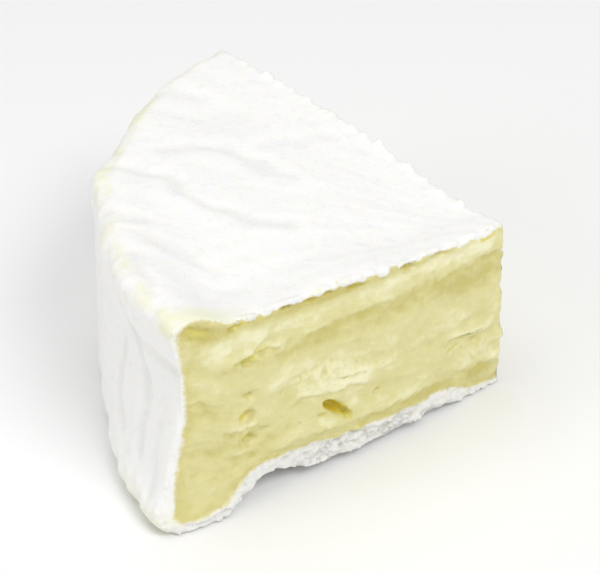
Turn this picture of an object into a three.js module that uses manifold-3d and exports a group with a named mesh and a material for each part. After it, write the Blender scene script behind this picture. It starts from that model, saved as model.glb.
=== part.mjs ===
// A wedge of camembert, about a quarter of a whole cheese, lying on its base.
// Millimetres, +Z up. The tip points along +X and the round side of rind along -X.
// The near cut, which shows the paste, faces the -Y side, and the far cut the +Y side.
import * as THREE from 'three';
import { mergeVertices } from 'three/addons/utils/BufferGeometryUtils.js';
import Module from 'manifold-3d';

// Driving dimensions
const WEDGE_ANGLE = THREE.MathUtils.degToRad(86);
const NEAR_CUT_LENGTH = 51.5;
const FAR_CUT_LENGTH = 57.4;
const MIDDLE_LENGTH = 51.3;
const RIM_JUT = 0.9;
const FAR_CORNER_ROUNDING = 1.3;
const RIM_HEIGHT = 28.6;
const RIM_SAG = 0.6;
const SUNKEN_HEIGHT = 25.3;
const TIP_HEIGHT = 23.4;
const TOP_EDGE_RADIUS = 3.1;
const BOTTOM_EDGE_RADIUS = 2.8;
const UNDERSIDE_HOLLOW = 1.1;
const UNDERSIDE_ARCH = 1.6;
const UNDERSIDE_CLEARANCE = 0.15;
const WAIST = 0.7;
const NEAR_CUT_BULGE = 1.4;
const FAR_CUT_BULGE = 0.3;
const FAR_CUT_PROUD = 0.6;
const TIP_NOSE = 0.6;
const TIP_WAVE = 0.3;
const RIND_LIP = 0.6;
const RIND_LEDGE = 0.9;
const RIND_THICKNESS = 2.4;
const FOOT_FLARE = 2.7;
const NEAR_END_WAIST = 1.5;

// How finely the surface is divided
const STEPS_ALONG = 34;
const STEPS_UP = 18;

// The eyes and torn cavities of the near cut: how far each is from the tip, how high,
// its half length, half height and depth, and how much it slopes down towards the tip
const EYES = [
  { along: 27.2, height: 8.1, long: 2.7, tall: 0.9, deep: 2.4, slope: 0.72 },
  { along: 40.4, height: 13.2, long: 1.5, tall: 1.0, deep: 1.5, slope: -0.4 },
  { along: 40.0, height: 9.9, long: 1.1, tall: 0.8, deep: 1.2, slope: 0 },
  { along: 39.6, height: 16.1, long: 1.2, tall: 0.6, deep: 1.0, slope: 0 },
  { along: 37.9, height: 20.8, long: 2.2, tall: 0.7, deep: 1.1, slope: -0.2 },
  { along: 15.8, height: 23.1, long: 1.3, tall: 0.7, deep: 1.5, slope: 0.1 },
  { along: 11.0, height: 23.0, long: 2.0, tall: 0.6, deep: 1.3, slope: 0 },
  { along: 5.4, height: 8.6, long: 2.6, tall: 0.5, deep: 1.1, slope: -0.15 },
];
const EYE_SIDES = 12;
const EYE_RINGS = 8;

const { sin, cos, sqrt, exp, max, PI } = Math;
const smooth = THREE.MathUtils.smoothstep;

// 1 at the centre of a bump and falling to 0 within about two widths of it
function bump(x, centre, width) {
  return exp(-(((x - centre) / width) ** 2));
}

// Uneven waves between -1 and 1 over a plane, with lengths of about 6.3 along u and v
function ripple(u, v, shift) {
  const broad = sin(u + 0.6 * sin(0.7 * v + shift)) * cos(0.9 * v - shift);
  const fine = sin(1.9 * u - 1.3 * v + 2.1 * shift);
  return 0.65 * broad + 0.35 * fine;
}

// Distance from the tip to the rind, where side is 1 at the near cut and -1 at the far cut.
// The rim juts out a little in the middle, and the far corner is rounded off.
function lengthAt(side) {
  const near = NEAR_CUT_LENGTH * 0.5 * (side + side * side);
  const far = FAR_CUT_LENGTH * 0.5 * (side * side - side);
  const jut = RIM_JUT * bump(side, -0.03, 0.1);
  const nearSwell = 0.4 * bump(side, 0.6, 0.25);
  const farDent = 0.3 * bump(side, -0.4, 0.2);
  const farCorner = FAR_CORNER_ROUNDING * bump(side, -1, 0.1);
  return MIDDLE_LENGTH * (1 - side * side) + near + far + jut + nearSwell - farDent - farCorner;
}

// The top: highest along the rim, sunken towards the tip, with soft creases. Near the near
// cut it sinks steeply, which leaves an ear of rind standing at that corner, and towards the
// far cut it slopes evenly.
function topHeight(reach, side) {
  const ear = smooth(side, -0.1, 0.95);
  const foot = 0.77 + 0.015 * sin(9 * side);
  const steep = smooth(reach, foot, 0.93);
  const even = reach ** 1.5;
  const rise = even + (steep - even) * ear;
  const towardsRim = smooth(reach, 0.05, 0.5);
  const crease = 0.3 * ripple(3.2 * side, 11 * reach + 2.4 * side, 0.6) * smooth(reach, 0.05, 0.4);
  const rimHeight = RIM_HEIGHT - RIM_SAG * (1 - side * side);
  return TIP_HEIGHT + (SUNKEN_HEIGHT - TIP_HEIGHT) * towardsRim
    + (rimHeight - SUNKEN_HEIGHT) * rise + crease * (1 - 0.7 * rise);
}

// The underside: it rests on three points, under the tip and under both ends of the rim.
// The rest is a hair clear of the surface, flat in the middle and hollow along the cuts.
function bottomHeight(reach, side) {
  const underTip = bump(reach, 0, 0.03);
  const underRimEnds = bump(reach, 0.92, 0.04) * side ** 12;
  const alongCuts = smooth(Math.abs(side), 0.3, 0.7);
  const hollow = UNDERSIDE_HOLLOW * smooth(reach, 0.1, 0.22) * (1 - smooth(reach, 0.76, 0.87));
  const arch = UNDERSIDE_ARCH * bump(reach, 0.72, 0.08);
  return UNDERSIDE_CLEARANCE * (1 - max(underTip, underRimEnds)) + (hollow + arch) * alongCuts;
}

// Rounds the two edges of the rind side in a section through the tip
function roundEdges(r, z, length) {
  const edges = [
    { radius: TOP_EDGE_RADIUS, centre: RIM_HEIGHT - TOP_EDGE_RADIUS, up: 1 },
    { radius: BOTTOM_EDGE_RADIUS, centre: BOTTOM_EDGE_RADIUS, up: -1 },
  ];
  for (const { radius, centre, up } of edges) {
    const out = (r - (length - radius)) / radius;
    const rise = (up * (z - centre)) / radius;
    if (out > 0 && rise > 0) {
      return {
        r: length - radius + radius * out * sqrt(1 - 0.5 * rise * rise),
        z: centre + up * radius * rise * sqrt(1 - 0.5 * out * out),
      };
    }
  }
  return { r, z };
}

// The rind side: a slight waist that is deeper under the near ear, soft upright folds, one
// slanting crease and a flared near foot
function rindOffset(level, side) {
  const middle = sin(PI * level);
  const nearEnd = smooth(side, 0.25, 1);
  const folds = 0.4 * ripple(9 * side, 2.2 * level, 1.7) * middle;
  const crease = -0.45 * bump(level + 0.28 * (side - 0.6), 0.62, 0.09) * smooth(side, -0.2, 0.6);
  const foot = FOOT_FLARE * nearEnd * (1 - smooth(level, 0, 0.27));
  const underEar = -NEAR_END_WAIST * nearEnd * bump(level, 0.7, 0.24);
  return folds + crease + foot + underEar - WAIST * middle;
}

// How far the near cut stands out of its plane: paste that bulges and is smeared in long
// streaks, a ragged lip of rind along the top, a ledge of rind below, a heavy foot and a nose
// at the tip
function nearCutOffset(along, height, level) {
  const length = NEAR_CUT_LENGTH;
  const reach = along / length;
  const between = sin(PI * Math.min(reach, 1));
  const paste = smooth(level, 0.02, 0.16) * (1 - smooth(level, 0.9, 0.97));
  const streaks = 0.28 * ripple(0.16 * along, 1.15 * height - 0.14 * along, 0.4) * paste;
  const lip = RIND_LIP * smooth(level, 0.9, 0.98) * (0.7 + 0.5 * ripple(0.9 * along, 1, 2.2));
  const ledge = RIND_LEDGE * (1 - smooth(height, 0.6 * RIND_THICKNESS, 1.3 * RIND_THICKNESS))
    * smooth(reach, 0.05, 0.3) * (0.75 + 0.25 * ripple(0.8 * along, 0, 1.1));
  const foot = 1.6 * bump(along, 0.92 * length, 7) * (1 - smooth(level, 0, 0.3));
  const nose = TIP_NOSE * (0.6 + 0.4 * level) * exp(-along / 6);
  const bulge = NEAR_CUT_BULGE * between;
  return bulge + streaks + lip * smooth(reach, 0, 0.08) + ledge + foot + nose;
}

function farCutOffset(along, height, level) {
  const between = sin(PI * Math.min(along / FAR_CUT_LENGTH, 1));
  const streaks = 0.25 * ripple(0.15 * along, 1.1 * height + 0.12 * along, 3.3) * sin(PI * level);
  return FAR_CUT_PROUD + FAR_CUT_BULGE * between + streaks * between;
}

// Outward directions of the two cuts in plan
const HALF_ANGLE = WEDGE_ANGLE / 2;
const NEAR_OUT = new THREE.Vector3(sin(HALF_ANGLE), -cos(HALF_ANGLE), 0);
const FAR_OUT = new THREE.Vector3(sin(HALF_ANGLE), cos(HALF_ANGLE), 0);
const NEAR_ALONG = new THREE.Vector3(-cos(HALF_ANGLE), -sin(HALF_ANGLE), 0);
// How far behind a cut its relief dies out
const CUT_RELIEF_DEPTH = 4;

// Takes a point of a unit cube to the wedge. The cube's x = 0 side becomes the near cut,
// its y = 0 side the far cut, and its x = 1 and y = 1 sides the round side of rind.
function wedgePoint(cube) {
  const ring = max(cube.x, cube.y);
  const share = ring > 0 ? Math.min(cube.x, cube.y) / ring : 1;
  const side = cube.x <= cube.y ? 1 - share : share - 1;
  const angle = HALF_ANGLE * side;
  const length = lengthAt(side);
  const evenly = ring * (1.25 - 0.25 * ring);
  const nearEnds = cube.z - (0.6 * sin(2 * PI * cube.z)) / (2 * PI);

  const section = roundEdges(length * evenly, RIM_HEIGHT * nearEnds, length);
  const level = section.z / RIM_HEIGHT;
  const reach = section.r / length;
  const floor = bottomHeight(reach, side);
  const height = floor + level * (topHeight(reach, side) - floor);
  const radius = section.r + rindOffset(level, side) * reach ** 8;

  const point = new THREE.Vector3(-radius * cos(angle), -radius * sin(angle), height);
  const behindNear = radius * sin(HALF_ANGLE - angle);
  const behindFar = radius * sin(HALF_ANGLE + angle);
  const near = nearCutOffset(radius, height, level) * exp(-behindNear / CUT_RELIEF_DEPTH);
  const far = farCutOffset(radius, height, level) * exp(-behindFar / CUT_RELIEF_DEPTH);
  const tip = TIP_WAVE * sin(1.6 * PI * level - 0.3) * exp(-radius / CUT_RELIEF_DEPTH);
  point.addScaledVector(NEAR_OUT, near);
  point.addScaledVector(FAR_OUT, far);
  point.x += tip;
  return point;
}

function wedgeGeometry() {
  const cube = new THREE.BoxGeometry(1, 1, 1, STEPS_ALONG, STEPS_ALONG, STEPS_UP);
  cube.translate(0.5, 0.5, 0.5);
  cube.deleteAttribute('normal');
  cube.deleteAttribute('uv');
  const geometry = mergeVertices(cube);
  const position = geometry.getAttribute('position');
  const corner = new THREE.Vector3();
  for (let i = 0; i < position.count; i += 1) {
    corner.fromBufferAttribute(position, i);
    const point = wedgePoint(corner);
    position.setXYZ(i, point.x, point.y, point.z);
  }
  return geometry;
}

// An eye is a flattened ball sunk half into the face of the near cut
function eyeGeometry({ along, height, long, tall, deep, slope }) {
  const ball = new THREE.SphereGeometry(1, EYE_SIDES, EYE_RINGS);
  ball.deleteAttribute('normal');
  ball.deleteAttribute('uv');
  const reach = along / NEAR_CUT_LENGTH;
  const floor = bottomHeight(reach, 1);
  const level = (height - floor) / (topHeight(reach, 1) - floor);
  const centre = NEAR_ALONG.clone().multiplyScalar(along);
  centre.addScaledVector(NEAR_OUT, nearCutOffset(along, height, level));
  centre.z = height;
  const tilt = new THREE.Matrix4().makeRotationY(-slope);
  const facing = new THREE.Matrix4().makeBasis(NEAR_ALONG, NEAR_OUT, new THREE.Vector3(0, 0, 1));
  const place = new THREE.Matrix4().makeTranslation(centre);
  ball.scale(long, deep, tall);
  ball.applyMatrix4(tilt);
  ball.applyMatrix4(facing);
  ball.applyMatrix4(place);
  return mergeVertices(ball);
}

const wasm = await Module();
wasm.setup();

function toSolid(geometry) {
  return new wasm.Manifold(new wasm.Mesh({
    numProp: 3,
    vertProperties: geometry.getAttribute('position').array,
    triVerts: Uint32Array.from(geometry.getIndex().array),
  }));
}

function toGeometry(solid) {
  const { vertProperties, triVerts } = solid.getMesh();
  const geometry = new THREE.BufferGeometry();
  geometry.setAttribute('position', new THREE.BufferAttribute(vertProperties, 3));
  geometry.setIndex(new THREE.BufferAttribute(triVerts, 1));
  return geometry;
}

let cheese = toSolid(wedgeGeometry());
for (const eye of EYES) {
  cheese = cheese.subtract(toSolid(eyeGeometry(eye)));
}
const geometry = toGeometry(cheese);

// The origin is under the middle of the wedge, on the surface that it stands on
geometry.computeBoundingBox();
const { min: low, max: high } = geometry.boundingBox;
geometry.translate(-(low.x + high.x) / 2, -(low.y + high.y) / 2, -low.z);
geometry.computeVertexNormals();

const rindAndPaste = new THREE.MeshStandardMaterial({
  color: 0xf1ecd0,
  roughness: 0.8,
  metalness: 0,
});
const wedge = new THREE.Mesh(geometry, rindAndPaste);
wedge.name = 'camembert_wedge';

const group = new THREE.Group();
group.add(wedge);

export default group;
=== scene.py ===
"""The looks of a loose wedge of camembert: bloomy white rind, soft pale paste on its cuts."""
import itertools
import math
import random
from collections import namedtuple

import bmesh
import bpy
import numpy as np
from mathutils import Matrix, Vector
from mathutils.kdtree import KDTree


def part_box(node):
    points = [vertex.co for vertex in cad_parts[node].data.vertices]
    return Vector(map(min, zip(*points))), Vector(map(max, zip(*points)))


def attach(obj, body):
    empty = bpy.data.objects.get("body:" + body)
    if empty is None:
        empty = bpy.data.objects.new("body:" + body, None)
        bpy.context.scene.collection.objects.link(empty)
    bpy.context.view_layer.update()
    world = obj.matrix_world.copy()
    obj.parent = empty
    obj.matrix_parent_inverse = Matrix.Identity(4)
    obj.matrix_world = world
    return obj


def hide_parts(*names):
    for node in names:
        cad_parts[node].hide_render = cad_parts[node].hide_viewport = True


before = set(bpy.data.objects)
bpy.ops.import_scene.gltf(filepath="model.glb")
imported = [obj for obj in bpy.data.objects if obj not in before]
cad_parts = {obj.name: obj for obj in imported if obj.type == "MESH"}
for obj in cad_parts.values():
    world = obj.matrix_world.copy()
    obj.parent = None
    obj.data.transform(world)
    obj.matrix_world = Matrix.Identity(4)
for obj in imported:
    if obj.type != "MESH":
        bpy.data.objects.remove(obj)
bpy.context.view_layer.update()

# Lengths are in metres, and MM turns millimetres into them
MM = 0.001
NODE = "camembert_wedge"
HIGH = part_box(NODE)[1]

# The wedge in plan: where its two cuts meet, the angle from its middle to each cut, the cuts'
# lengths, and how far the round side is from the tip
TIP = Vector((HIGH.x - 1.07 * MM, -0.56 * MM, 0.0))
HALF_ANGLE = math.radians(43)
NEAR_CUT_LENGTH = 51.5 * MM
FAR_CUT_LENGTH = 57.4 * MM
RIM_RADIUS = 52.0 * MM

# What faces up above the first height is the top, what faces down below the second is the base,
# and what faces outwards further from the tip than the third is the round side
TOP_LOWEST = 22.7 * MM
BASE_HIGHEST = 3.5 * MM
RIM_START = 44.0 * MM

# How much lower the photo shows the two small eyes near the round side than the solid has them
EYES_SAG = 1.3 * MM

# How much higher the torn rind stands at the near cut's top edge than the solid
TOP_EDGE_LIFT = 0.85 * MM

# How finely the surface is made, before the near cut is made finer still
VOXEL = 0.44 * MM

# The rind's thickness where a cut shows it: at the top, the round side and the side's foot
TOP_RIND = 0.22 * MM
SIDE_RIND = 0.45 * MM
FOOT_RIND = 1.3 * MM

# The rind's thickness at the base of a cut: distances along it and thicknesses, in mm
BASE_RIND_ALONG = (0, 4, 8, 14, 20, 30, 36, 40, 45, 52)
BASE_RIND = (0.5, 1.0, 2.2, 1.7, 2.1, 2.8, 1.8, 2.0, 1.3, 0.9)

# How many torn bits each cut has in its top and base rind, and where along it the top's hang lowest
FRINGE_BITS = 75
BASE_CRUMBS = 120
FRINGE_HANGS_AT = 20.8 * MM

# Seeds of the two cuts' noise and strewn marks. Each uses the dozen numbers after it too.
NEAR_SEED = 101
FAR_SEED = 151

# Keeps the far cut's fine pattern apart from the near cut's
FAR_PATTERN_SHIFT = 200 * MM

# Smears and knife marks on a cut sink towards the tip by this much for each unit along
STREAK_SLOPE = 0.07

# A mark on a cut: its place, half its length and height, all in mm, its slope, and how strong
# it is. The strength is about a depth or height in mm, for a smear its tone, dark below 0 and
# light above, which is partly painted light and shade, and for a crumbly patch its share of the
# full roughness.
Mark = namedtuple("Mark", "along height long tall slope strength")

# The solid's eyes. Shade is painted into their insides, yellow, and full amber in those at least this
# deep, in mm.
AMBER_DEPTH = 2.4
EYES = (
    Mark(27.2, 8.1, 2.7, 0.9, 0.72, 2.4),
    Mark(40.4, 13.2, 1.5, 1.0, -0.4, 1.5),
    Mark(40.0, 9.9, 1.1, 0.8, 0.0, 1.2),
    Mark(39.6, 16.1, 1.2, 0.6, 0.0, 1.0),
    Mark(37.9, 20.8, 2.2, 0.7, -0.2, 1.1),
    Mark(15.8, 23.1, 1.3, 0.7, 0.1, 1.5),
    Mark(11.0, 23.0, 2.0, 0.6, 0.0, 1.3),
    Mark(5.4, 8.6, 2.6, 0.5, -0.15, 1.1),
)
# The largest eye is widened to this mark
WIDE_EYE = Mark(26.9, 7.9, 3.1, 1.1, 0.68, 2.0)
# Torn hollows, mostly under the top rind, sunk and painted yellow inside as shade
CAVITIES = (
    Mark(3.6, 23.6, 1.8, 0.5, 0.0, 0.7),
    Mark(7.4, 24.1, 1.0, 0.5, 0.1, 0.6),
    Mark(11.0, 23.9, 1.7, 0.6, 0.0, 1.0),
    Mark(16.3, 24.0, 1.4, 0.9, 0.0, 1.5),
    Mark(24.6, 23.9, 1.5, 0.4, 0.1, 0.7),
    Mark(28.6, 24.6, 0.8, 0.5, 0.1, 0.6),
    Mark(31.4, 24.7, 1.2, 0.5, 0.1, 0.8),
    Mark(35.2, 24.9, 1.3, 0.5, 0.1, 0.8),
    Mark(41.8, 24.7, 1.2, 0.6, 0.2, 0.7),
    Mark(47.0, 26.2, 2.4, 0.9, 0.4, 0.5),
)
# Thin splits in the paste, sunk and painted yellow inside as shade
CRACKS = (
    Mark(5.6, 10.2, 3.4, 0.22, 0.06, 0.6),
    Mark(8.0, 8.9, 1.3, 0.4, -0.1, 0.6),
    Mark(25.2, 12.2, 3.6, 0.2, 0.12, 0.4),
    Mark(40.2, 20.2, 2.4, 0.4, 0.0, 0.6),
    Mark(36.5, 20.3, 3.0, 0.2, 0.0, 0.3),
)
# Patches where the paste is broken up
CRUMBLY = (
    Mark(29.6, 13.8, 6.0, 2.4, 0.1, 1.0),
    Mark(41.2, 11.2, 3.4, 2.6, 0.1, 0.7),
    Mark(4.0, 7.8, 4.4, 2.6, 0.0, 0.8),
    Mark(17.0, 12.6, 7.0, 2.6, 0.0, 0.4),
    Mark(5.0, 22.4, 5.0, 1.0, 0.0, 0.6),
)

# Ledges where the soft paste has sunk and hangs over what lies below, each with a painted highlight
# on its lip and painted shade under it
LEDGES = (
    Mark(6.5, 20.3, 8.0, 2.6, 0.0, 0.38),
    Mark(23.0, 20.3, 13.0, 2.3, 0.0, 0.40),
    Mark(40.0, 20.4, 6.5, 2.2, 0.02, 0.45),
    Mark(28.0, 11.2, 7.0, 2.4, 0.10, 0.55),
    Mark(5.2, 10.3, 5.0, 2.0, 0.06, 0.50),
    Mark(41.4, 12.2, 3.2, 1.5, 0.1, 0.40),
    Mark(41.4, 8.6, 3.0, 1.2, 0.1, 0.35),
    Mark(3.4, 4.8, 4.4, 1.8, 0.0, 0.30),
    Mark(18.0, 5.2, 8.0, 2.0, 0.0, 0.35),
    Mark(31.5, 6.2, 6.0, 1.6, 0.1, 0.35),
    Mark(46.5, 16.8, 3.0, 2.0, 0.1, 0.30),
)
# Paste painted lighter or darker: partly wiped so by the knife, partly painted highlight on the
# ridge under the top rind and on the lips of eyes and pits, and painted shade under the ledges
# and under the top rind
SMEARS_AND_PAINTED_LIGHT = (
    Mark(6.0, 22.2, 6.0, 1.3, 0.0, 1.3),
    Mark(24.0, 22.3, 15.0, 1.0, 0.0, 0.7),
    Mark(42.0, 22.6, 8.0, 1.5, 0.05, 0.8),
    Mark(47.0, 18.8, 3.6, 1.5, 0.0, 0.5),
    Mark(12.0, 13.4, 14.0, 3.4, 0.0, 0.4),
    Mark(29.8, 14.4, 6.5, 2.6, 0.1, 0.9),
    Mark(25.0, 12.2, 7.0, 1.6, 0.1, 0.6),
    Mark(30.6, 11.0, 2.4, 0.8, 0.5, 0.9),
    Mark(28.8, 6.9, 2.0, 0.8, 0.5, 0.9),
    Mark(24.6, 8.4, 1.4, 1.2, 0.5, 0.7),
    Mark(3.4, 7.6, 4.0, 2.4, 0.0, 0.8),
    Mark(41.4, 12.0, 2.2, 0.6, 0.1, 1.0),
    Mark(41.2, 8.4, 2.2, 0.6, 0.1, 0.8),
    Mark(34.0, 8.6, 3.6, 1.6, 0.1, 0.3),
    Mark(6.0, 18.2, 7.5, 2.1, 0.0, -1.2),
    Mark(20.0, 18.6, 12.0, 1.8, 0.0, -0.9),
    Mark(33.0, 19.0, 7.0, 1.3, 0.0, -0.6),
    Mark(6.5, 24.2, 7.0, 0.9, 0.0, -1.3),
    Mark(24.5, 23.8, 6.0, 0.8, 0.0, -1.0),
    Mark(36.0, 24.3, 9.0, 1.1, 0.05, -1.1),
    Mark(46.4, 25.8, 4.0, 1.5, 0.4, -1.6),
    Mark(40.0, 20.2, 3.0, 0.6, 0.0, -1.0),
    Mark(2.6, 3.5, 3.2, 1.0, 0.0, -1.3),
    Mark(14.0, 4.2, 12.0, 1.2, 0.0, -0.9),
    Mark(29.0, 5.6, 5.0, 1.0, 0.1, -0.6),
    Mark(46.0, 11.0, 5.0, 6.0, 0.0, -0.4),
    Mark(46.0, 4.0, 4.5, 3.5, 0.0, -0.4),
)

# Creases in the top rind, as places in plan in mm, and in the round side, as angles from the
# wedge's middle towards the near cut in degrees and heights in mm. Each ends with its depth in mm.
TOP_CREASES = (
    (((-25.0, 3.4), (-22.3, 2.7), (-17.2, 2.2), (-12.6, -1.5), (-6.6, -5.9), (-0.6, -6.9)), 0.34),
    (((-18.6, 8.4), (-16.1, 9.6), (-13.7, 10.6), (-9.5, 9.9), (-5.4, 6.1), (-2.0, 4.6)), 0.30),
    (((-23.5, 22.6), (-21.2, 23.4), (-19.3, 24.8), (-15.8, 22.8)), 0.22),
    (((-24.0, -8.0), (-21.6, -8.7), (-18.4, -9.9)), 0.28),
    (((-19.6, -18.6), (-16.7, -21.8), (-14.8, -26.5)), 0.26),
    (((-5.0, 12.6), (-2.6, 13.9), (1.4, 15.4)), 0.16),
    (((-10.1, -21.2), (-5.7, -22.2)), 0.14),
    (((-20.0, -12.8), (-17.4, -13.6), (-12.3, -15.5), (-8.1, -18.3)), 0.24),
)
SIDE_CREASES = (
    (((27.7, 24.5), (30.5, 21.9), (37.2, 21.3), (44.0, 21.0)), 0.30),
    (((31.0, 21.6), (33.6, 17.5), (35.2, 13.0), (34.5, 6.7)), 0.34),
    (((38.9, 14.5), (38.5, 9.0), (40.3, 4.4)), 0.22),
    (((25.9, 18.5), (25.7, 11.7), (27.9, 7.0)), 0.25),
)

# The photograph's view of the wedge: its angles, its distance, where it aims, and the lens in mm
VIEW_AZIMUTH = math.radians(5.46)
VIEW_ELEVATION = math.radians(31.6)
VIEW_DISTANCE = 0.334
VIEW_AIM = Vector((-0.2 * MM, 3.7 * MM, 10.7 * MM))
VIEW_LENS = 153.7


def smoothstep(low, high, x):
    """0 at low, 1 at high and an even curve between them. High may be the smaller one."""
    t = np.clip((x - low) / (high - low), 0.0, 1.0)
    return t * t * (3.0 - 2.0 * t)


def bump(x, width):
    """1 where x is 0, falling away to nothing at about two widths."""
    return np.exp(-((x / width) ** 2))


# Large odd numbers that turn a grid point's place and a seed into a random direction
GRID_STEPS = np.array((73856093, 19349663, 83492791), dtype=np.int64)
SEED_STEP = 2654435
FIRST_STIR = 1274126177
SECOND_STIR = 668265263
LOW_31_BITS = 0x7FFFFFFF
# Brings the noise to about -1 to 1
NOISE_GAIN = 1.6


def noise(points, seed):
    """Smooth gradient noise of about -1 to 1, one lump to a unit, at each row of points."""
    cell = np.floor(points).astype(np.int64)
    inside = points - cell
    fade = inside**3 * (inside * (inside * 6.0 - 15.0) + 10.0)
    total = np.zeros(len(points))
    for corner in itertools.product((0, 1), repeat=3):
        corner = np.array(corner)
        steps = (cell + corner) * GRID_STEPS
        key = steps[:, 0] ^ steps[:, 1] ^ steps[:, 2] ^ (seed * SEED_STEP)
        key = ((key ^ (key >> 13)) * FIRST_STIR) & LOW_31_BITS
        key = ((key ^ (key >> 15)) * SECOND_STIR) & LOW_31_BITS
        gradient = np.stack(((key & 255), ((key >> 8) & 255), ((key >> 16) & 255)), axis=1)
        gradient = gradient / 127.5 - 1.0
        share = np.where(corner == 1, fade, 1.0 - fade).prod(axis=1)
        total += share * (gradient * (inside - corner)).sum(axis=1)
    return total * NOISE_GAIN


def stretched(u, v, w, sizes, seed):
    """Noise over three coordinates in metres, whose lumps have the given sizes in mm."""
    lumps = np.stack((u / sizes[0], v / sizes[1], w / sizes[2]), axis=1)
    return noise(lumps / MM, seed)


class Cut:
    """One of the wedge's two flat cuts: its outward direction, and places along it. Side is 1
    for the near cut and -1 for the far one."""

    def __init__(self, side, length):
        self.length = length
        self.out = Vector((math.sin(HALF_ANGLE), -side * math.cos(HALF_ANGLE), 0.0))
        self.along = Vector((-math.cos(HALF_ANGLE), -side * math.sin(HALF_ANGLE), 0.0))

    def point(self, along, height, proud):
        """The place at a distance from the tip, a height and a distance out of the cut's plane."""
        return TIP + self.along * along + self.out * proud + Vector((0.0, 0.0, height))

    def measure(self, places):
        """How far each place is along the cut, and how far out of its plane."""
        offset = places - np.array(TIP)
        return offset @ np.array(self.along), offset @ np.array(self.out)


NEAR_CUT = Cut(1, NEAR_CUT_LENGTH)
FAR_CUT = Cut(-1, FAR_CUT_LENGTH)


class CutEdges:
    """A cut's top and bottom edges and how proud it stands, at even distances along it."""

    # How many stations there are, how far from the cut's ends they start and stop, how far to
    # each side a station looks, and how far behind the cut's plane a vertex still counts
    COUNT = 60
    ENDS = (0.5 * MM, 1.5 * MM)
    REACH = 0.7 * MM
    DEPTH = 0.8 * MM

    def __init__(self, places, cut):
        along, proud = cut.measure(places)
        self.stations = np.linspace(self.ENDS[0], cut.length - self.ENDS[1], self.COUNT)
        rows = []
        for station in self.stations:
            here = (abs(along - station) < self.REACH) & (proud > -self.DEPTH)
            heights = places[here, 2]
            rows.append((heights.max(), heights.min(), proud[here].max()))
        self.rows = np.array(rows)

    def top(self, along):
        return np.interp(along, self.stations, self.rows[:, 0])

    def bottom(self, along):
        return np.interp(along, self.stations, self.rows[:, 1])

    def proud(self, along):
        return np.interp(along, self.stations, self.rows[:, 2])


def mesh_object(name, mesh):
    """Puts a mesh into the scene."""
    piece = bpy.data.objects.new(name, mesh)
    bpy.context.scene.collection.objects.link(piece)
    return piece


def with_modifier(mesh, kind, **settings):
    """The mesh that one modifier makes of a mesh, which is then thrown away."""
    holder = mesh_object("work", mesh)
    modifier = holder.modifiers.new(kind, kind)
    for key, value in settings.items():
        setattr(modifier, key, value)
    graph = bpy.context.evaluated_depsgraph_get()
    made = bpy.data.meshes.new_from_object(holder.evaluated_get(graph))
    bpy.data.objects.remove(holder)
    bpy.data.meshes.remove(mesh)
    return made


def smooth_solid():
    """The CAD solid with its facets rounded off and the edges of its cuts kept."""
    sharp = math.radians(38)
    sharpness = 0.7
    bm = bmesh.new()
    bm.from_mesh(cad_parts[NODE].data)
    bmesh.ops.remove_doubles(bm, verts=bm.verts, dist=0.002 * MM)
    bmesh.ops.join_triangles(
        bm, faces=bm.faces, angle_face_threshold=0.35, angle_shape_threshold=0.9
    )
    crease = bm.edges.layers.float.new("crease_edge")
    for edge in bm.edges:
        if edge.calc_face_angle(0.0) > sharp:
            edge[crease] = sharpness
    mesh = bpy.data.meshes.new("smooth_solid")
    bm.to_mesh(mesh)
    bm.free()
    return with_modifier(mesh, "SUBSURF", levels=2, render_levels=2)


def base_rind(along):
    """The base rind's thickness on a cut."""
    return np.interp(along / MM, BASE_RIND_ALONG, BASE_RIND) * MM


def fringe_bit(cut, edges, along, draw):
    """The size and place of one torn bit that hangs from a cut's top rind."""
    size = (0.25 + 0.4 * draw.random() ** 2) * MM
    hang = 0.9 + 1.4 * bump(along - FRINGE_HANGS_AT, 3.5 * MM)
    height = edges.top(along) - size * draw.uniform(-0.4, 0.8) * hang
    return size, cut.point(along, height, edges.proud(along) - draw.uniform(0.2, 0.6) * MM)


def base_crumb(cut, edges, along, draw):
    """The size and place of one crumb in a cut's base rind."""
    size = draw.uniform(0.3, 0.85) * MM
    spread = base_rind(along) - size
    height = edges.bottom(along) + size + draw.uniform(0.0, 1.0) * spread
    return size, cut.point(along, height, edges.proud(along) - draw.uniform(0.9, 1.9) * MM)


def add_bit(bm, cut, edges, draw, kind):
    """Adds one small stretched lump of a kind to a cut, and returns its place and size."""
    along = draw.uniform(1.5 * MM, cut.length - 6.0 * MM)
    size, place = kind(cut, edges, along, draw)
    turn = Matrix.Rotation(draw.uniform(0, math.pi), 4, cut.out)
    stretch = Matrix.Diagonal(
        (draw.uniform(0.8, 1.9), draw.uniform(0.7, 1.2), draw.uniform(0.5, 0.9), 1.0)
    )
    matrix = Matrix.Translation(place) @ turn @ stretch
    bmesh.ops.create_icosphere(bm, subdivisions=1, radius=size, matrix=matrix)
    return place, size


def torn_solid():
    """The smooth solid with small torn bits on the rind of its cuts, all fused into one mesh.
    Returns it with the places and sizes of the fringe under the top rind."""
    mesh = smooth_solid()
    places = np.array([vertex.co for vertex in mesh.vertices])
    draw = random.Random(7)
    bm = bmesh.new()
    bm.from_mesh(mesh)
    fringe = []
    for cut in (NEAR_CUT, FAR_CUT):
        edges = CutEdges(places, cut)
        fringe += [add_bit(bm, cut, edges, draw, fringe_bit) for _ in range(FRINGE_BITS)]
        for _ in range(BASE_CRUMBS):
            add_bit(bm, cut, edges, draw, base_crumb)
    bm.to_mesh(mesh)
    bm.free()
    voxel = VOXEL
    return with_modifier(mesh, "REMESH", mode="VOXEL", voxel_size=voxel), fringe


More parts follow.
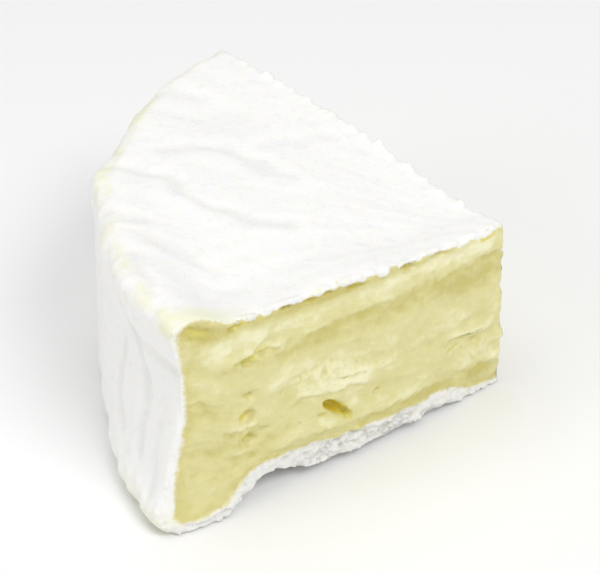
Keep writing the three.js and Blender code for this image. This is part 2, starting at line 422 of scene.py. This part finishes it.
def refine_near_cut(mesh):
    """Makes the mesh finer on the near cut, and evens out the remesh's steps everywhere."""
    bm = bmesh.new()
    bm.from_mesh(mesh)
    out = NEAR_CUT.out
    fine = {
        face
        for face in bm.faces
        if face.normal.dot(out) > 0.25 and (face.calc_center_median() - TIP).dot(out) > -4 * MM
    }
    edges = [edge for edge in bm.edges if not fine.isdisjoint(edge.link_faces)]
    bmesh.ops.subdivide_edges(bm, edges=edges, cuts=1, use_grid_fill=True)
    bmesh.ops.smooth_vert(
        bm, verts=bm.verts, factor=0.5, use_axis_x=True, use_axis_y=True, use_axis_z=True
    )
    bm.to_mesh(mesh)
    bm.free()


def vertex_rows(mesh, what):
    """A row of three numbers for every vertex: its place (co) or its normal."""
    rows = np.empty(len(mesh.vertices) * 3)
    mesh.vertices.foreach_get(what, rows)
    return rows.reshape(-1, 3)


def distance_to(places, chosen):
    """How far every place is from the nearest of the chosen ones."""
    tree = KDTree(int(chosen.sum()))
    for index in np.flatnonzero(chosen):
        tree.insert(places[index], index)
    tree.balance()
    return np.array([tree.find(place)[2] for place in places])


class CutFace:
    """How each of the body's vertices lies to one cut, and the noise that roughens that cut."""

    def __init__(self, skin, cut, seed):
        self.cut = cut
        self.seed = seed
        self.height = skin.height
        self.along, self.proud = cut.measure(skin.places)
        self.edges = CutEdges(skin.places, cut)
        self.inside = self.edges.proud(self.along) - self.proud
        self.facing = skin.normals @ np.array(cut.out)
        self.share = smoothstep(0.25, 0.7, self.facing) * (self.proud > -5 * MM)
        self.level = self.height - STREAK_SLOPE * self.along
        self.broad = self.strokes((11.0, 4.0, 9.0), 0)
        self.medium = self.strokes((4.5, 1.8, 9.0), 1)
        self.fine = self.strokes((1.8, 0.8, 9.0), 2)
        self.chips = skin.lumps(1.0, seed + 3)
        self.small_chips = skin.lumps(0.5, seed + 4)
        self.wobble = 0.3 * self.chips + 0.15 * self.small_chips

    def strokes(self, sizes, extra):
        """Noise that follows the knife's strokes, with lumps of the given sizes in mm."""
        return stretched(self.along, self.level, self.proud, sizes, self.seed + extra)

    def along_edge(self, sizes, extra):
        """Noise that runs along the cut's edges, with lumps of the given sizes in mm."""
        return stretched(self.along, self.proud, self.height, sizes, self.seed + extra)

    def in_hollow(self):
        """Which vertices lie just behind the cut and well below its top edge."""
        below_edge = self.height < self.edges.top(self.along) - 1.2 * MM
        return (self.inside < 3.5 * MM) & below_edge


class Skin:
    """The body's vertices: where each lies on the wedge, how far it moves and what colours it."""

    # What is stored at the vertices for the paint, all from 0 to 1 but the tone, which is
    # dark below 0 and light above. The tone holds painted light and shade as well as the paste's
    # own tone; the hollow, crease and shaded layers are painted shade.
    LAYERS = ("tone", "hollow", "crease", "crumbly", "shaded", "worn")

    def __init__(self, mesh, fringe):
        self.mesh = mesh
        self.places = vertex_rows(mesh, "co")
        self.normals = vertex_rows(mesh, "normal")
        self.height = self.places[:, 2]
        self.up = self.normals[:, 2]
        offset = self.places - np.array(TIP)
        self.radius = np.hypot(offset[:, 0], offset[:, 1])
        self.angle = np.arctan2(-offset[:, 1], -offset[:, 0])
        self.outward = (self.normals[:, :2] * offset[:, :2]).sum(axis=1) / self.radius
        self.near = CutFace(self, NEAR_CUT, NEAR_SEED)
        self.far = CutFace(self, FAR_CUT, FAR_SEED)
        self.rind = np.clip(1.0 - self.near.share - self.far.share, 0.0, 1.0)
        self.fringe = self.near_any(fringe)
        on_top = (self.up > 0.6) & (self.height > TOP_LOWEST) & ~self.near.in_hollow()
        on_base = (self.up < -0.6) & (self.height < BASE_HIGHEST)
        on_side = (self.outward > 0.6) & (self.radius > RIM_START)
        self.below_top = distance_to(self.places, on_top)
        self.above_base = distance_to(self.places, on_base)
        self.behind_side = distance_to(self.places, on_side)
        self.move = np.zeros_like(self.places)
        for layer in self.LAYERS:
            setattr(self, layer, np.zeros(len(self.places)))

    def near_any(self, bits):
        """1 at the vertices that lie on any of the bits, which are places with sizes."""
        share = np.zeros(len(self.places))
        for place, size in bits:
            reach = np.linalg.norm(self.places - np.array(place), axis=1) / size
            share = np.maximum(share, smoothstep(1.6, 0.8, reach))
        return share

    def lumps(self, size, seed):
        """Noise all round the body, with lumps of a size in mm."""
        return noise(self.places / (size * MM), seed)

    def under_rind(self, along):
        """How deep each vertex of a cut lies below the rind's inner side. It is less than 0 in it."""
        ragged = 1.0 + 0.5 * self.lumps(4.0, 21) + 0.45 * self.lumps(1.5, 22)
        foot = smoothstep(8.0 * MM, 3.0 * MM, self.height)
        side_rind = SIDE_RIND + (FOOT_RIND - SIDE_RIND) * foot
        return np.minimum.reduce((
            self.below_top - TOP_RIND * np.maximum(ragged, 0.3) ** 2,
            self.above_base - base_rind(along) * (0.72 + 0.28 * ragged),
            0.5 * (self.behind_side - side_rind * ragged),
        ))

    def raise_to(self, layer, values):
        """Raises one of the layers to the values wherever they are higher."""
        setattr(self, layer, np.maximum(getattr(self, layer), values))

    def store(self, name, values):
        """Keeps a number at every vertex for the paint."""
        layer = self.mesh.attributes.new(name, "FLOAT", "POINT")
        layer.data.foreach_set("value", values.astype(np.float32))


def from_mark(mark, face):
    """How far each vertex is along and above a mark's middle line, in mm."""
    across = face.along / MM - mark.along
    return across, face.height / MM - mark.height - mark.slope * across


def mark_reach(mark, face):
    """How far each vertex is from a mark's middle, with 1 at its outline."""
    across, rise = from_mark(mark, face)
    return np.hypot(across / mark.long, rise / mark.tall)


def mark_share(mark, face, wobble):
    """1 in the middle of a mark and 0 outside it, with a ragged edge."""
    return smoothstep(1.1, 0.35, mark_reach(mark, face) + wobble)


def smear_and_light_share(mark, face):
    """Like mark_share, but fading slowly from the middle outwards."""
    return smoothstep(1.5, 0.1, mark_reach(mark, face) + 0.5 * face.wobble)


def ledge_parts(mark, face, ragged):
    """A ledge's hanging lip and the shaded line under it, each from 0 to 1."""
    across, rise = from_mark(mark, face)
    rise = rise + ragged
    ends = smoothstep(1.0, 0.5, abs(across) / mark.long)
    lip = smoothstep(mark.tall, 0.0, rise) * smoothstep(-0.65, 0.15, rise)
    return ends * lip, ends * bump(rise + 0.6, 0.5)


def shade_eye_insides(skin, face):
    """Paints shade into the insides of the solid's eyes: yellow, and amber in the deepest ones."""
    for eye in EYES:
        reach = np.hypot(face.along / MM - eye.along, face.height / MM - eye.height)
        reach = reach / (eye.long + 0.8)
        around = (reach > 1.0) & (reach < 1.5) & (face.share > 0.9)
        depth = np.median(face.proud[around]) - face.proud
        inside = smoothstep(1.1, 0.8, reach) * smoothstep(0.35 * MM, 1.3 * MM, depth)
        amber = min(1.0, eye.strength / AMBER_DEPTH)
        skin.raise_to("hollow", inside * amber * (depth < 4 * MM))


def widen_eye(skin, face):
    """Sinks the ground around the largest eye, down to the depth of its mark, and paints it amber as
    shade.
    """
    sunk = mark_share(WIDE_EYE, face, face.wobble)
    missing = np.maximum(sunk * WIDE_EYE.strength * MM - np.maximum(face.inside, 0.0), 0.0)
    skin.move -= (missing * (face.inside < 4 * MM))[:, None] * np.array(face.cut.out)
    skin.raise_to("hollow", sunk)


def strewn_ledges(cut, draw, count):
    """Faint ledges strewn over a cut."""
    ledges = []
    for _ in range(count):
        along = draw.uniform(3.0, cut.length / MM - 5.0)
        height = draw.uniform(4.0, 22.0)
        long = draw.uniform(2.0, 7.0)
        tall = draw.uniform(0.8, 2.2)
        slope = draw.uniform(-0.05, 0.2)
        ledges.append(Mark(along, height, long, tall, slope, draw.uniform(0.08, 0.20)))
    return ledges


def small_pits(cut, draw, count):
    """Pinholes strewn over a cut."""
    pits = []
    for _ in range(count):
        along = draw.uniform(2.0, cut.length / MM - 3.0)
        height = draw.uniform(4.5, 21.5)
        long = draw.uniform(0.35, 1.3)
        tall = draw.uniform(0.25, 0.55)
        pits.append(Mark(along, height, long, tall, draw.uniform(-0.1, 0.4), long * 0.45))
    return pits


def pits_and_ledges(face, marked):
    """A cut's pits and ledges: a few strewn ones, and then those of the photograph or more."""
    draw = random.Random(face.seed)
    pits = small_pits(face.cut, draw, 6)
    ledges = strewn_ledges(face.cut, draw, 3)
    if marked:
        return [*pits, *CAVITIES, *CRACKS], [*ledges, *LEDGES]
    pits += small_pits(face.cut, draw, 8)
    return pits, ledges + strewn_ledges(face.cut, draw, 14)


def paste_surface(skin, face, ledges, marked):
    """A cut's relief in mm and its tone: knife strokes, ledges, crumbly patches and smears. The tone
    paints raised strokes, lumps and ledge lips lighter as highlights, and troughs and the lines under
    ledges darker as shade.
    """
    relief = 0.34 * face.broad + 0.20 * face.medium + 0.09 * face.fine
    relief += 0.09 * skin.lumps(1.1, face.seed + 10)
    relief += 0.05 * face.chips
    # Painted light and shade: the tone follows the relief's strokes, lighter on their ridges and
    # darker in their troughs
    tone = 0.7 * face.broad + 0.5 * face.medium + 0.3 * face.fine
    if marked:
        for mark in CRUMBLY:
            crumbled = mark_share(mark, face, 2.0 * face.wobble) * mark.strength
            relief += crumbled * (0.12 + 0.30 * face.chips + 0.18 * face.small_chips)
            # Painted light and shade: lighter on the crumbs' lumps, darker between them
            tone += crumbled * (0.5 * face.chips + 0.5 * face.small_chips)
        # Smears, partly painted highlights on ridges and lips and painted shade under ledges and the
        # top rind
        for mark in SMEARS_AND_PAINTED_LIGHT:
            tone += smear_and_light_share(mark, face) * mark.strength
    ragged = 0.45 * skin.lumps(2.2, face.seed + 11) + 0.25 * face.chips
    ragged += 0.1 * face.small_chips
    for ledge in ledges:
        lip, line = ledge_parts(ledge, face, ragged)
        relief += ledge.strength * (0.75 * lip - 0.15 * line)
        # Painted highlight on each ledge's lip and painted shade on the line under it
        tone += ledge.strength * (1.2 * lip - 1.2 * line)
    return relief, tone


def sink_pits(skin, face, pits, relief):
    """Sinks pits into a cut's relief and paints shade into their insides, yellow, and more of it in
    deeper pits.
    """
    for pit in pits:
        sunk = mark_share(pit, face, face.wobble)
        relief -= sunk * pit.strength
        skin.raise_to("hollow", face.share * sunk * min(1.0, 0.75 * pit.strength))


def tear_top_edge(skin, face, under, relief):
    """Draws the paste back a little under the top rind, whose lip is left ragged and proud.
    Returns how much each vertex belongs to the lip, and how far that moves it out, in mm."""
    drawn_back = smoothstep(0.1 * MM, 0.7 * MM, under)
    drawn_back *= smoothstep(3.0 * MM, 1.0 * MM, skin.below_top)
    torn = face.strokes((3.0, 9.0, 9.0), 5)
    relief -= drawn_back * (0.08 + 0.35 * np.maximum(torn, 0.0))
    gaps = smoothstep(0.05 * MM, 0.3 * MM, under) * smoothstep(1.7 * MM, 0.9 * MM, skin.below_top)
    # Painted shade, yellow, in the gaps under the rind's lip
    skin.raise_to("hollow", face.share * gaps * 0.6 * smoothstep(-0.1, 0.7, torn))

    lip = smoothstep(1.0 * MM, 0.3 * MM, skin.below_top)
    lip *= smoothstep(2.6 * MM, 0.4 * MM, face.inside)
    lip *= smoothstep(0.5 * MM, 4.0 * MM, face.along)
    ragged = face.along_edge((3.4, 6.0, 6.0), 6)
    notched = face.along_edge((1.1, 3.0, 3.0), 7)
    lifted = face.along_edge((1.7, 4.0, 4.0), 12) + 0.5 * notched
    skin.move[:, 2] += 0.3 * MM * lip * smoothstep(-0.8, -0.2, face.facing) * lifted
    return lip, lip * (0.25 * ragged + 0.22 * notched - 0.1)


def crumple_base_rind(skin, face, relief):
    """Crumples the base rind where a cut shows it, and paints shade into its hollows and wrinkle
    lines.
    """
    in_rind = smoothstep(0.35 * MM, -0.3 * MM, skin.above_base - base_rind(face.along))
    folds = stretched(face.along, face.height, face.proud, (3.2, 0.7, 1.5), face.seed + 8)
    crumple = 0.55 * folds + 0.35 * skin.lumps(1.2, face.seed + 9) + 0.2 * face.small_chips
    wrinkles = bump(folds + 0.4 * face.small_chips, 0.13) * smoothstep(-0.3, 0.3, face.broad)
    relief += in_rind * (crumple - 0.25 * wrinkles)
    # Painted shade in the crumples' hollows and along the wrinkle lines
    dark = np.maximum(smoothstep(-0.1, -0.7, crumple), 0.8 * wrinkles)
    skin.raise_to("shaded", face.share * in_rind * dark)
    skin.raise_to("crumbly", face.share * in_rind)


def shape_cut(skin, face, marked):
    """Roughens a cut: its paste, the torn edge of its top rind and its crumpled base rind.
    A marked cut has the photograph's marks. Returns how deep under the rind each vertex is."""
    under = skin.under_rind(face.along)
    pits, ledges = pits_and_ledges(face, marked)
    if marked:
        shade_eye_insides(skin, face)
        widen_eye(skin, face)
    relief, tone = paste_surface(skin, face, ledges, marked)
    relief *= smoothstep(-0.1 * MM, 0.4 * MM, under)
    sink_pits(skin, face, pits, relief)
    lip, lip_out = tear_top_edge(skin, face, under, relief)
    crumple_base_rind(skin, face, relief)
    out = (face.share * relief * (1.0 - lip) + lip_out) * MM
    skin.move += out[:, None] * np.array(face.cut.out)
    skin.tone += face.share * tone
    return under


def distance_to_line(u, v, line):
    """How far each point of a plane is from a bent line."""
    nearest = np.full(len(u), np.inf)
    for (u1, v1), (u2, v2) in itertools.pairwise(line):
        du, dv = u2 - u1, v2 - v1
        t = np.clip(((u - u1) * du + (v - v1) * dv) / (du * du + dv * dv), 0.0, 1.0)
        nearest = np.minimum(nearest, np.hypot(u - u1 - t * du, v - v1 - t * dv))
    return nearest


def crease_depth(skin, top, side):
    """How deep the creases are at each vertex, in mm, with the swollen edges beside them."""
    bend = 1.1 * skin.lumps(4.0, 31)
    x = skin.places[:, 0] / MM + bend
    y = skin.places[:, 1] / MM + bend
    depth = np.zeros(len(x))
    for line, deep in TOP_CREASES:
        gap = distance_to_line(x, y, line)
        depth += top * deep * (0.7 * bump(gap, 1.3) - 0.3 * bump(gap - 2.4, 1.6))
    rim = RIM_RADIUS / MM
    arc = skin.angle * RIM_RADIUS / MM + 0.25 * bend
    height = skin.height / MM + 0.25 * bend
    for line, deep in SIDE_CREASES:
        gap = distance_to_line(arc, height, [(math.radians(turn) * rim, z) for turn, z in line])
        depth += side * deep * (0.8 * bump(gap, 1.3) - 0.3 * bump(gap - 2.6, 1.8))
    return depth


def worn_rind(skin, shoulder):
    """Where the white bloom is worn off: on the shoulder, and at the near cut's two corners."""
    near = skin.near
    patches = smoothstep(-0.35, 0.55, skin.lumps(6.0, 40) + 0.5 * skin.lumps(1.6, 41))
    corner = bump(near.along - 46 * MM, 5 * MM) * smoothstep(3.2 * MM, 0.5 * MM, skin.below_top)
    corner *= smoothstep(3.5 * MM, 0.8 * MM, -near.proud)
    foot_end = bump(near.along - 53 * MM, 3.5 * MM) * smoothstep(4.0 * MM, 1.0 * MM, skin.height)
    return np.clip(shoulder * patches + 0.9 * corner + 0.8 * foot_end, 0.0, 1.0)


def shape_rind(skin):
    """Moves the rind's vertices: soft swells, creases, the lumpy shoulder and the crumpled foot. Also
    keeps the painted shade of the creases and the worn patches.
    """
    up = skin.up
    top = smoothstep(0.5, 0.85, up) * smoothstep(18 * MM, 20 * MM, skin.height)
    side = smoothstep(0.35, 0.8, skin.outward) * (skin.radius > RIM_START)
    shoulder = np.clip(3.2 * up * skin.outward, 0.0, 1.0) * (skin.height > 18 * MM)
    foot = smoothstep(6.5 * MM, 2.0 * MM, skin.height) * (1.0 - smoothstep(-0.5, -0.9, up))

    crease = crease_depth(skin, top, side)
    arc = skin.angle * RIM_RADIUS
    radial = stretched(arc, skin.radius, skin.height, (4.5, 16.0, 30.0), 32)
    swell = 0.20 * skin.lumps(9.0, 33) + 0.07 * skin.lumps(2.6, 34)
    arc = arc + 0.6 * MM * skin.lumps(7.0, 42)
    folds = stretched(arc, skin.height, skin.radius, (7.0, 22.0, 60.0), 35)
    wrinkles = stretched(arc, skin.height, skin.radius, (2.4, 8.0, 60.0), 43)
    relief = swell - crease + top * 0.10 * radial + side * (0.42 * folds + 0.12 * wrinkles)
    relief += shoulder * (0.30 * skin.lumps(3.6, 36) + 0.14 * skin.lumps(1.4, 37))
    relief += foot * (0.30 * skin.lumps(2.2, 38) + 0.16 * skin.lumps(0.9, 39))
    skin.move += (skin.rind * relief * MM)[:, None] * skin.normals

    # Painted shade, greying the rind in its creases and in the low grooves of the top's radial
    # pattern
    grey_share = crease / 0.3 + 0.35 * np.clip(-radial, 0, 1) * top
    skin.crease = skin.rind * np.clip(grey_share, 0.0, 1.0)
    skin.worn = worn_rind(skin, shoulder)


def fit_near_cut(skin):
    """Lifts the near cut's top edge and lowers its small eyes, as the photograph shows them."""
    near = skin.near
    behind = -near.proud
    lift = smoothstep(7 * MM, -1 * MM, behind) * smoothstep(47 * MM, 40 * MM, near.along)
    skin.move[:, 2] += TOP_EDGE_LIFT * lift * smoothstep(14 * MM, 22 * MM, skin.height)
    sag = smoothstep(33 * MM, 37 * MM, near.along) * smoothstep(47.5 * MM, 44 * MM, near.along)
    sag *= smoothstep(3.5 * MM, 8 * MM, skin.height)
    sag *= smoothstep(23.5 * MM, 18 * MM, skin.height)
    skin.move[:, 2] -= EYES_SAG * sag * smoothstep(9 * MM, 4 * MM, behind)


def roughen_tip(skin):
    """Makes the upright edge between the two cuts ragged."""
    ragged = 0.26 * skin.lumps(1.7, 44) + 0.14 * skin.lumps(0.7, 45) - 0.12
    skin.move[:, 0] += MM * ragged * smoothstep(3.0 * MM, 0.6 * MM, skin.radius)


def store_layers(skin, under_near, under_far):
    """Stores what the paint reads. Each vertex takes its place on the cut it belongs to."""
    near, far = skin.near, skin.far
    on_near = near.share >= far.share
    is_cut = (near.share + far.share > 0.2) | (skin.hollow > 0.05)
    under = np.where(is_cut, np.where(on_near, under_near, under_far), -1.0 * MM)
    skin.store("under_rind", (under - 0.6 * MM * skin.fringe) / MM)
    for layer in skin.LAYERS:
        skin.store(layer, getattr(skin, layer))
    skin.store("along", np.where(on_near, near.along, far.along + FAR_PATTERN_SHIFT) / MM)
    skin.store("level", np.where(on_near, near.level, far.level) / MM)


def cheese_wedge():
    """The whole wedge, with what its colours need stored at its vertices."""
    mesh, fringe = torn_solid()
    refine_near_cut(mesh)
    skin = Skin(mesh, fringe)
    under_near = shape_cut(skin, skin.near, marked=True)
    under_far = shape_cut(skin, skin.far, marked=False)
    shape_rind(skin)
    fit_near_cut(skin)
    roughen_tip(skin)
    moved = skin.places + skin.move
    moved[:, 2] = np.maximum(moved[:, 2], 0.0)
    mesh.vertices.foreach_set("co", moved.ravel())
    mesh.update()
    mesh.shade_smooth()
    store_layers(skin, under_near, under_far)

    piece = mesh_object("cheese_wedge", mesh)
    piece.data.materials.append(cheese_paint())
    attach(piece, "root")
    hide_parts(NODE)


class Wire:
    """An output of a material's node. Arithmetic on it adds Math nodes."""

    def __init__(self, paint, socket):
        self.paint = paint
        self.socket = socket

    def math(self, operation, left, right):
        return self.paint.node("Math", {"operation": operation}, {0: left, 1: right})

    def __add__(self, other):
        return self.math("ADD", self, other)

    def __radd__(self, other):
        return self.math("ADD", other, self)

    def __sub__(self, other):
        return self.math("SUBTRACT", self, other)

    def __rsub__(self, other):
        return self.math("SUBTRACT", other, self)

    def __mul__(self, other):
        return self.math("MULTIPLY", self, other)

    def __rmul__(self, other):
        return self.math("MULTIPLY", other, self)


class Paint:
    """A material's nodes."""

    def __init__(self, name):
        self.material = bpy.data.materials.new(name)
        self.material.use_nodes = True
        self.nodes = self.material.node_tree.nodes
        self.links = self.material.node_tree.links
        self.nodes.clear()

    def node(self, kind, settings, sockets, output=0):
        """Adds a node: first its settings, then the values or links of its sockets."""
        node = self.nodes.new("ShaderNode" + kind)
        for key, value in settings.items():
            setattr(node, key, value)
        for key, value in sockets.items():
            if isinstance(value, Wire):
                self.links.new(value.socket, node.inputs[key])
            else:
                node.inputs[key].default_value = value
        return Wire(self, node.outputs[output]) if len(node.outputs) else None

    def attribute(self, name):
        return self.node("Attribute", {"attribute_name": name}, {}, output="Fac")

    def step(self, value, low, high):
        """0 at low and 1 at high, with an even curve between them."""
        sockets = {"Value": value, "From Min": low, "From Max": high}
        return self.node("MapRange", {"interpolation_type": "SMOOTHSTEP"}, sockets)

    def grain(self, place, size, detail=2.0, roughness=0.5):
        """Noise of about 0.3 to 0.7, with lumps of a size in the place's own units."""
        sockets = {"Vector": place, "Scale": 1.0 / size, "Detail": detail, "Roughness": roughness}
        return self.node("TexNoise", {}, sockets)

    def blend(self, share, first, second):
        """The first colour turning into the second as the share goes from 0 to 1."""
        return self.node("Mix", {"data_type": "RGBA"}, {0: share, 6: first, 7: second}, output=2)


RIND_WHITE = (0.90, 0.895, 0.875, 1)
# Grey for painted shade in the rind's creases, and for its grey mottle at random
RIND_SHADE_AND_MOTTLE = (0.79, 0.785, 0.76, 1)
RIND_WORN = (0.82, 0.82, 0.56, 1)
BASE_GREY = (0.84, 0.835, 0.80, 1)
# Dark grey for the base rind's specks and for the painted shade in its folds
BASE_SPECK_AND_SHADE = (0.36, 0.35, 0.31, 1)
# The paste's colours. The light one also serves as painted highlight and the dark one as painted
# shade, besides the paste's own lighter and darker tone and its ripened edge.
PASTE_LIGHT_AND_HIGHLIGHT = (0.89, 0.86, 0.57, 1)
PASTE_MIDDLE = (0.74, 0.69, 0.33, 1)
PASTE_DARK_AND_SHADE = (0.61, 0.54, 0.17, 1)
# Painted shade in hollows, deepening the paste's own yellow: yellow in pits and gaps, amber in the
# deepest eyes
PIT_SHADE_YELLOW = (0.76, 0.68, 0.18, 1)
EYE_SHADE_AMBER = (0.70, 0.56, 0.05, 1)


def cheese_paint():
    """White bloomy rind outside and soft pale paste on the cuts, told apart by the attributes."""
    paint = Paint("camembert")
    place = paint.node("TexCoord", {}, {}, output="Object")
    along = paint.attribute("along")
    level = paint.attribute("level")
    on_cut = paint.node("CombineXYZ", {}, {0: along * 0.4, 1: level, 2: 0.0})
    under = paint.attribute("under_rind")
    tone = paint.attribute("tone")
    hollow = paint.attribute("hollow")
    crumbly = paint.attribute("crumbly")
    crease = paint.attribute("crease")

    fluff = paint.grain(place, 0.45 * MM, detail=3.0, roughness=0.6)
    mottle = paint.grain(place, 1.6 * MM, detail=3.0, roughness=0.6)
    drag = paint.grain(on_cut, 0.8, detail=4.0, roughness=0.6)
    blotch = paint.grain(place, 3.0 * MM, detail=2.0)
    speckle = paint.grain(place, 0.55 * MM, detail=3.0, roughness=0.7)

    paste = paint.step(under + (fluff - 0.5) * 0.5, -0.16, 0.28)
    # The paste's own tone at random, together with the painted light and shade carried by the tone
    shade = tone + (drag - 0.5) * 1.4 + (blotch - 0.5) * 1.4 + (mottle - 0.5) * 1.2
    shade = shade + (speckle - 0.5)
    light = paint.step(shade, 0.0, 1.6)
    dark = paint.step(shade, 0.1, -1.7)
    ripe = paint.step(under, 1.8, 0.2) * 0.55

    # Lighter for pale patches and painted highlights, darker for dark patches and painted shade
    paste_colour = paint.blend(light, PASTE_MIDDLE, PASTE_LIGHT_AND_HIGHLIGHT)
    paste_colour = paint.blend(dark, paste_colour, PASTE_DARK_AND_SHADE)
    paste_colour = paint.blend(ripe * paint.step(blotch, 0.4, 0.6), paste_colour, PASTE_DARK_AND_SHADE)
    # Painted shade in the pits, gaps and eyes
    paste_colour = paint.blend(paint.step(hollow, 0.1, 0.5), paste_colour, PIT_SHADE_YELLOW)
    paste_colour = paint.blend(paint.step(hollow, 0.55, 1.0), paste_colour, EYE_SHADE_AMBER)

    # Painted shade in the creases, and grey mottle at random
    grey_share = crease * 0.8 + paint.step(mottle, 0.52, 0.7) * 0.35
    rind_colour = paint.blend(grey_share, RIND_WHITE, RIND_SHADE_AND_MOTTLE)
    rind_colour = paint.blend(paint.attribute("worn") * 0.75, rind_colour, RIND_WORN)
    rind_colour = paint.blend(crumbly, rind_colour, BASE_GREY)
    # Dark specks at random in the base rind, and its painted shade
    specks_and_shade = crumbly * paint.step(speckle, 0.6, 0.75) * 0.35 + paint.attribute("shaded") * 0.6
    rind_colour = paint.blend(specks_and_shade, rind_colour, BASE_SPECK_AND_SHADE)

    colour = paint.blend(paste, rind_colour, paste_colour)
    roughness = 0.93 - paste * 0.53 + paste * (drag - 0.5) * 0.2
    rind_relief = fluff * 0.10 + mottle * 0.08
    paste_relief = drag * 0.10 + fluff * 0.02
    relief = rind_relief + paste * (paste_relief - rind_relief)
    normal = paint.node("Bump", {}, {"Strength": 0.9, "Distance": MM, "Height": relief})
    shader = paint.node("BsdfPrincipled", {}, {
        "Base Color": colour,
        "Roughness": roughness,
        "Normal": normal,
        "Subsurface Weight": 0.2,
        "Subsurface Radius": (1.0, 0.75, 0.4),
        "Subsurface Scale": 1.5 * MM,
    })
    paint.node("OutputMaterial", {}, {"Surface": shader})
    return paint.material


def plain_paint(name, colour):
    """A matt material of one colour, for what isn't part of the cheese."""
    paint = Paint(name)
    shader = paint.node("BsdfPrincipled", {}, {"Base Color": colour, "Roughness": 0.9})
    paint.node("OutputMaterial", {}, {"Surface": shader})
    return paint.material


def floor():
    """A plain pale floor."""
    bm = bmesh.new()
    bmesh.ops.create_grid(bm, x_segments=1, y_segments=1, size=2.0)
    mesh = bpy.data.meshes.new("floor")
    bm.to_mesh(mesh)
    bm.free()
    piece = mesh_object("floor", mesh)
    mesh.materials.append(plain_paint("pale_floor", (0.90, 0.90, 0.90, 1)))


def softbox(name, place, size, power):
    """A square lamp that faces the wedge."""
    light = bpy.data.lights.new(name, "AREA")
    light.size = size
    light.energy = power
    lamp = bpy.data.objects.new(name, light)
    bpy.context.scene.collection.objects.link(lamp)
    lamp.location = place
    lamp.rotation_euler = (-Vector(place)).to_track_quat("-Z", "Y").to_euler()


def studio():
    """Even white surroundings, and three soft lights: above, high in front and at the left."""
    world = bpy.data.worlds.new("studio")
    bpy.context.scene.world = world
    world.use_nodes = True
    background = world.node_tree.nodes["Background"].inputs
    background["Color"].default_value = (1, 1, 1, 1)
    background["Strength"].default_value = 0.50
    softbox("top_softbox", (-0.15, 0.05, 0.7), 0.6, 1.3)
    softbox("front_softbox", (0.35, -0.38, 0.62), 0.35, 2.7)
    softbox("left_softbox", (-0.55, -0.38, 0.3), 0.4, 0.9)
    bpy.context.scene.view_settings.view_transform = "Standard"


def camera():
    """The photograph's viewing angle."""
    data = bpy.data.cameras.new("camera")
    data.lens = VIEW_LENS
    piece = bpy.data.objects.new("camera", data)
    bpy.context.scene.collection.objects.link(piece)
    back = Vector((
        math.sin(VIEW_AZIMUTH) * math.cos(VIEW_ELEVATION),
        -math.cos(VIEW_AZIMUTH) * math.cos(VIEW_ELEVATION),
        math.sin(VIEW_ELEVATION),
    ))
    piece.location = VIEW_AIM + back * VIEW_DISTANCE
    piece.rotation_euler = (-back).to_track_quat("-Z", "Y").to_euler()
    bpy.context.scene.camera = piece


camera()
studio()
floor()
cheese_wedge()
